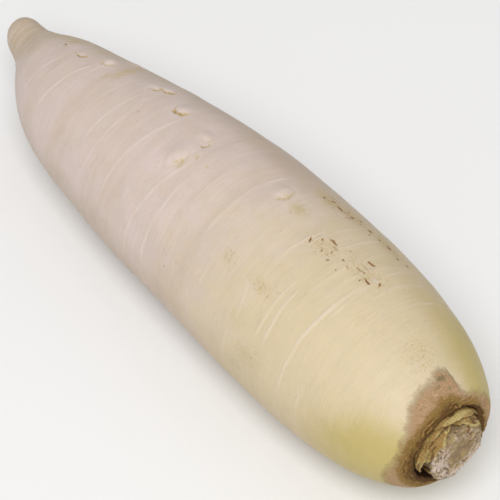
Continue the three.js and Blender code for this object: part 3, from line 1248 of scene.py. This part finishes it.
def scars_and_scuffs(nodes, base, place, grit, blotches):
    """Scars, smudges, scuffs, scratches and pinpricks: the colour, and heights with depths."""
    halo = nodes.times(nodes.attribute("halo"), nodes.mask(grit, 0.25, 0.5))
    base = nodes.paint(base, SCAR_PALE, halo, 0.35)
    smudge = nodes.attribute("smudge")
    ragged = nodes.mask(nodes.uneven(smudge, grit, 2.6), 0.2, 1.1)
    base = nodes.paint(base, SCAR_YELLOW, nodes.times(ragged, nodes.mask(smudge, 0.02, 0.3)), 0.75)
    # The crease: partly the scar's own yellow and brown, partly painted shadow under the mound.
    crease = nodes.uneven(nodes.attribute("crease"), grit, 1.0)
    base = nodes.paint(base, SCAR_YELLOW, nodes.mask(crease, 0.12, 0.55))
    crease = nodes.mask(crease, 0.45, 0.95)
    base = nodes.paint(base, SCAR_BROWN, crease, 0.9)

    zone = nodes.attribute("scuff_zone")
    stain = nodes.times(nodes.mask(zone, 0.1, 0.8), nodes.mask(blotches, 0.4, 0.56))
    stain = nodes.times(stain, nodes.mask(grit, 0.46, 0.62))
    base = nodes.paint(base, SCUFF_STAIN, stain, 0.45)
    # Pale flakes: partly lifted skin, partly painted highlight.
    flakes = nodes.specks(nodes.stretched(place, (0.45, 1.0, 1.0)), 0.42, 0.3, 0.6)
    flakes = nodes.times(flakes, nodes.mask(zone, 0.3, 0.8))
    base = nodes.paint(base, SCAR_PALE, flakes, 0.4)
    dashes = nodes.specks(nodes.stretched(place, (0.25, 1.0, 1.0)), 0.5, 0.2, 0.45)
    streaks = nodes.noise(nodes.stretched(place, (0.3, 1.0, 1.0)), 0.75, 3.0, 0.55)
    dashes = nodes.math("MAXIMUM", dashes, nodes.mask(streaks, 0.655, 0.70))
    dashes = nodes.times(dashes, nodes.mask(zone, 0.25, 0.9))
    base = nodes.paint(base, SCAR_BROWN, dashes, 0.7)

    scratch = nodes.uneven(nodes.attribute("scratch"), grit, 0.8)
    scratched = nodes.mask(scratch, 0.30, 0.55)
    base = nodes.paint(base, SCAR_BROWN, scratched)
    base = nodes.paint(base, SCRATCH_BROWN, nodes.mask(scratch, 0.55, 0.85))
    base = nodes.paint(base, SCAR_BROWN, nodes.specks(place, 0.16, 0.075, 0.4), 0.5)
    sunk = [(crease, 0.20), (dashes, 0.15), (scratched, 0.15)]
    heights = [(nodes.times(mark, -1.0), depth) for mark, depth in sunk]
    return base, [heights[0], (flakes, 0.10), *heights[1:]]


def corky_crown(nodes, base, place, grit):
    """Tan cork, then mustard, then dark brown, with painted highlight on fold crests, painted shade in fold
    valleys and down into the hollow: the colour, and where cork is.
    """
    broad = nodes.times_plus(nodes.noise(place, 0.35, 3.0, 0.55), 5.0, -2.5)
    speckled = nodes.times_plus(nodes.noise(place, 1.5, 5.0, 0.75), 6.0, -3.0)
    edge = nodes.plus(broad, speckled)
    cork = nodes.mask(nodes.plus(nodes.attribute("cork"), edge), -2.2, 2.6)
    clouds = nodes.noise(place, 0.6, 5.0, 0.7)
    tone = nodes.paint(CORK_TAN, CORK_PALE, nodes.mask(clouds, 0.56, 0.68))
    tone = nodes.paint(tone, CORK_OLIVE, nodes.mask(clouds, 0.44, 0.34))
    base = nodes.paint(base, nodes.mottled(tone, place, 1.4, 1.3), cork, 0.92)
    spot = nodes.uneven(nodes.attribute("grey_spot"), grit, 2.0)
    base = nodes.paint(base, CORK_GREY, nodes.mask(spot, 0.3, 0.9))

    dark = nodes.plus(nodes.attribute("dark_brown"), edge)
    mustard = nodes.mottled(CORK_MUSTARD, place, 1.2, 1.6)
    base = nodes.paint(base, mustard, nodes.mask(dark, -3.0, -0.2))
    flecks = nodes.mask(nodes.noise(place, 1.7, 4.0, 0.7), 0.54, 0.64)
    base = nodes.paint(base, CORK_DARK, nodes.times(flecks, nodes.mask(dark, -2.0, 1.0)), 0.75)
    folds = nodes.attribute("folds")
    crumbled = nodes.mask(nodes.noise(place, 1.1, 4.0, 0.65), 0.42, 0.6)
    # Painted highlight on the crests of the folds.
    base = nodes.paint(base, FOLD_CREST_HIGHLIGHT, nodes.times(nodes.mask(folds, 0.15, 0.8), crumbled), 0.7)
    # Painted shade in the valleys of the folds.
    fold_valley_shade = nodes.times_plus(folds, -2.4, dark)
    base = nodes.paint(base, CORK_DARK, nodes.mask(fold_valley_shade, 1.0, 4.0), 0.85)
    # Painted shade down into the hollow.
    return nodes.paint(base, HOLLOW_PAINTED_SHADE, nodes.attribute("hollow")), cork


def make_skin():
    material, nodes, shader = new_material("daikon_skin")
    place = nodes.attribute("skin_place", "Vector")
    ringwise = nodes.stretched(place, (1.0, 0.07, 0.07))
    blotches = nodes.noise(place, 0.11, 6.0, 0.62)
    grit = nodes.noise(place, 1.0, 5.0, 0.7)
    base = skin_tone(nodes, place, ringwise, blotches)
    base, line_heights = growth_lines(nodes, base, place, ringwise)
    base, mark_heights = scars_and_scuffs(nodes, base, place, grit, blotches)
    base, cork = corky_crown(nodes, base, place, grit)
    cork_grain = nodes.times(nodes.noise(place, 1.9, 5.0, 0.7), cork)
    roughness = nodes.times_plus(cork, 0.4, nodes.times_plus(blotches, 0.16, 0.36))
    heights = [*line_heights, *mark_heights, (cork_grain, 1.1)]
    finish_shader(nodes, shader, base, roughness, heights, SKIN_FLESH)
    shader.inputs["Specular IOR Level"].default_value = SKIN_SPECULAR
    return material


def make_cut_stem():
    material, nodes, shader = new_material("torn_stem")
    coordinates = nodes.add("ShaderNodeTexCoord")
    place = nodes.stretched(coordinates.outputs["Object"], (1 / MM,) * 3)
    patchy = nodes.mask(nodes.noise(place, 0.32, 4.0, 0.6), 0.42, 0.6)
    base = nodes.paint(STUMP_GREY, STUMP_OLIVE, patchy)
    grain = nodes.noise(place, 1.2, 5.0, 0.7)
    pale = nodes.uneven(nodes.attribute("pale"), grain, 1.2)
    base = nodes.paint(base, STUMP_PALE, nodes.mask(pale, 0.15, 0.85))
    brown = nodes.uneven(nodes.attribute("brown"), grain, 1.2)
    base = nodes.paint(base, STUMP_BROWN, nodes.mask(brown, 0.35, 0.85))
    base = nodes.mottled(base, place, 0.9, 0.45)
    strands = nodes.use(fibres, Place=nodes.stretched(place, (0.35, 1, 1)), Scale=1.1, Sharpness=0.4)
    roughness = nodes.times_plus(grain, 0.25, 0.6)
    heights = [(strands["Height"], 0.15), (grain, 0.32)]
    finish_shader(nodes, shader, base, roughness, heights, STUMP_FLESH)
    return material


def make_leaf_base_material(name, fresh):
    """The cut stalk: yellow where its edge is fresh, mustard and brown where it has dried, and dark towards
    its foot and in its gaps and clefts, partly dried tissue and partly painted shade.
    """
    material, nodes, shader = new_material(name)
    place = nodes.attribute("fibre_place", "Vector")
    lengthwise = nodes.stretched(place, (1.0, 0.16, 0.5))
    strands = nodes.use(fibres, Place=lengthwise, Scale=1.7, Sharpness=0.35)
    blotches = nodes.noise(place, 0.5, 4.0, 0.6)
    # Dark towards the foot, down among the other stalks: partly dried tissue, partly painted shade.
    base = nodes.paint(BASE_DARK, BASE_BROWN, nodes.mask(nodes.attribute("height"), 1.5, 5.0))
    # Painted shade in the gaps between fibres.
    base = nodes.paint(base, BASE_DARK, strands["Gaps"], 0.6)
    fresh_place = nodes.mask(nodes.uneven(nodes.attribute("fresh"), blotches, 1.2), 0.2, 0.85)
    base = nodes.paint(base, BASE_YELLOW, fresh_place, fresh)
    # Painted shade in the clefts between layers.
    cleft = nodes.mask(nodes.uneven(nodes.attribute("cleft"), blotches, 1.2), 0.4, 0.9)
    base = nodes.paint(base, BASE_DARK, cleft, 0.8)
    base = nodes.paint(base, BASE_DARK, nodes.specks(place, 0.8, 0.28, 0.35), 0.8)
    base = nodes.mottled(base, place, 0.9, 0.9)
    roughness = nodes.times_plus(blotches, 0.3, 0.45)
    heights = [(strands["Height"], 0.16), (blotches, 0.3)]
    finish_shader(nodes, shader, base, roughness, heights, BASE_FLESH)
    return material


# ---- Camera, light and floor --------------------------------------------------------------------

VIEW_AZIMUTH = 51.8
VIEW_ELEVATION = 46.2
VIEW_ANGLE = 12.0
VIEW_DISTANCE = 1.007
SENSOR_WIDTH = 36.0
# The point that the camera looks at, from the middle of the CAD box and its floor.
VIEW_AIM = (0.0156, 0.0065, 0.0320)

# The soft lamp: azimuth, elevation, distance, size and power.
KEY_LIGHT = (46, 54, 3.2, 2.0, 84)
SKY_COLOUR = (1, 0.99, 0.98, 1)
SKY_STRENGTH = 0.51
FLOOR_REACH = 6.0
FLOOR_COLOUR = (0.80, 0.80, 0.80, 1)
FLOOR_ROUGHNESS = 0.9


def direction_to(azimuth, elevation):
    """The direction from the object to a place round it. Azimuth 0 is on the -Y side."""
    azimuth, elevation = math.radians(azimuth), math.radians(elevation)
    return Vector(
        (
            math.sin(azimuth) * math.cos(elevation),
            -math.cos(azimuth) * math.cos(elevation),
            math.sin(elevation),
        )
    )


def box_aim():
    low, high = Vector(cad_box[0]), Vector(cad_box[1])
    middle = (low + high) / 2
    return Vector((middle.x, middle.y, low.z)) + Vector(VIEW_AIM)


def add_camera():
    data = bpy.data.cameras.new("camera")
    data.sensor_width = SENSOR_WIDTH
    data.lens = SENSOR_WIDTH / 2 / math.tan(math.radians(VIEW_ANGLE / 2))
    data.clip_start = 0.05
    data.clip_end = 20
    camera = bpy.data.objects.new("camera", data)
    bpy.context.scene.collection.objects.link(camera)
    back = direction_to(VIEW_AZIMUTH, VIEW_ELEVATION)
    camera.location = box_aim() + back * VIEW_DISTANCE
    camera.rotation_euler = back.to_track_quat("Z", "Y").to_euler()
    bpy.context.scene.camera = camera


def add_area_light(name, azimuth, elevation, distance, size, power):
    data = bpy.data.lights.new(name, "AREA")
    data.shape = "DISK"
    data.size = size
    data.energy = power
    light = bpy.data.objects.new(name, data)
    bpy.context.scene.collection.objects.link(light)
    back = direction_to(azimuth, elevation)
    light.location = box_aim() + back * distance
    light.rotation_euler = back.to_track_quat("Z", "Y").to_euler()


def add_studio():
    world = bpy.data.worlds.new("studio")
    world.use_nodes = True
    background = world.node_tree.nodes["Background"]
    background.inputs["Color"].default_value = SKY_COLOUR
    background.inputs["Strength"].default_value = SKY_STRENGTH
    bpy.context.scene.world = world
    add_area_light("soft_key", *KEY_LIGHT)
    bpy.context.scene.view_settings.view_transform = "Standard"

    mesh = bpy.data.meshes.new("floor")
    side = FLOOR_REACH
    corners = [(-side, -side, 0), (side, -side, 0), (side, side, 0), (-side, side, 0)]
    mesh.from_pydata(corners, [], [(0, 1, 2, 3)])
    floor = bpy.data.objects.new("floor", mesh)
    bpy.context.scene.collection.objects.link(floor)
    material, _, shader = new_material("pale_floor")
    shader.inputs["Base Color"].default_value = FLOOR_COLOUR
    shader.inputs["Roughness"].default_value = FLOOR_ROUGHNESS
    mesh.materials.append(material)


# ---- The scene ----------------------------------------------------------------------------------

add_camera()
add_studio()

build_root(make_skin())
build_stump(make_cut_stem())
inner_material = make_leaf_base_material("inner_leaf_base", 0.85)
outer_material = make_leaf_base_material("outer_leaf_base", 0.75)
for number in (1, 2, 3):
    build_leaf_base(
        f"cut_leaf_inner_{number}",
        f"leaf_base_inner_{number}",
        inner_material,
        INNER_RISES[number - 1],
        INNER_LEAN,
        100 + 10 * number,
    )
    build_leaf_base(
        f"cut_leaf_outer_{number}",
        f"leaf_base_outer_{number}",
        outer_material,
        OUTER_RISES[number - 1],
        OUTER_LEAN,
        200 + 10 * number,
    )
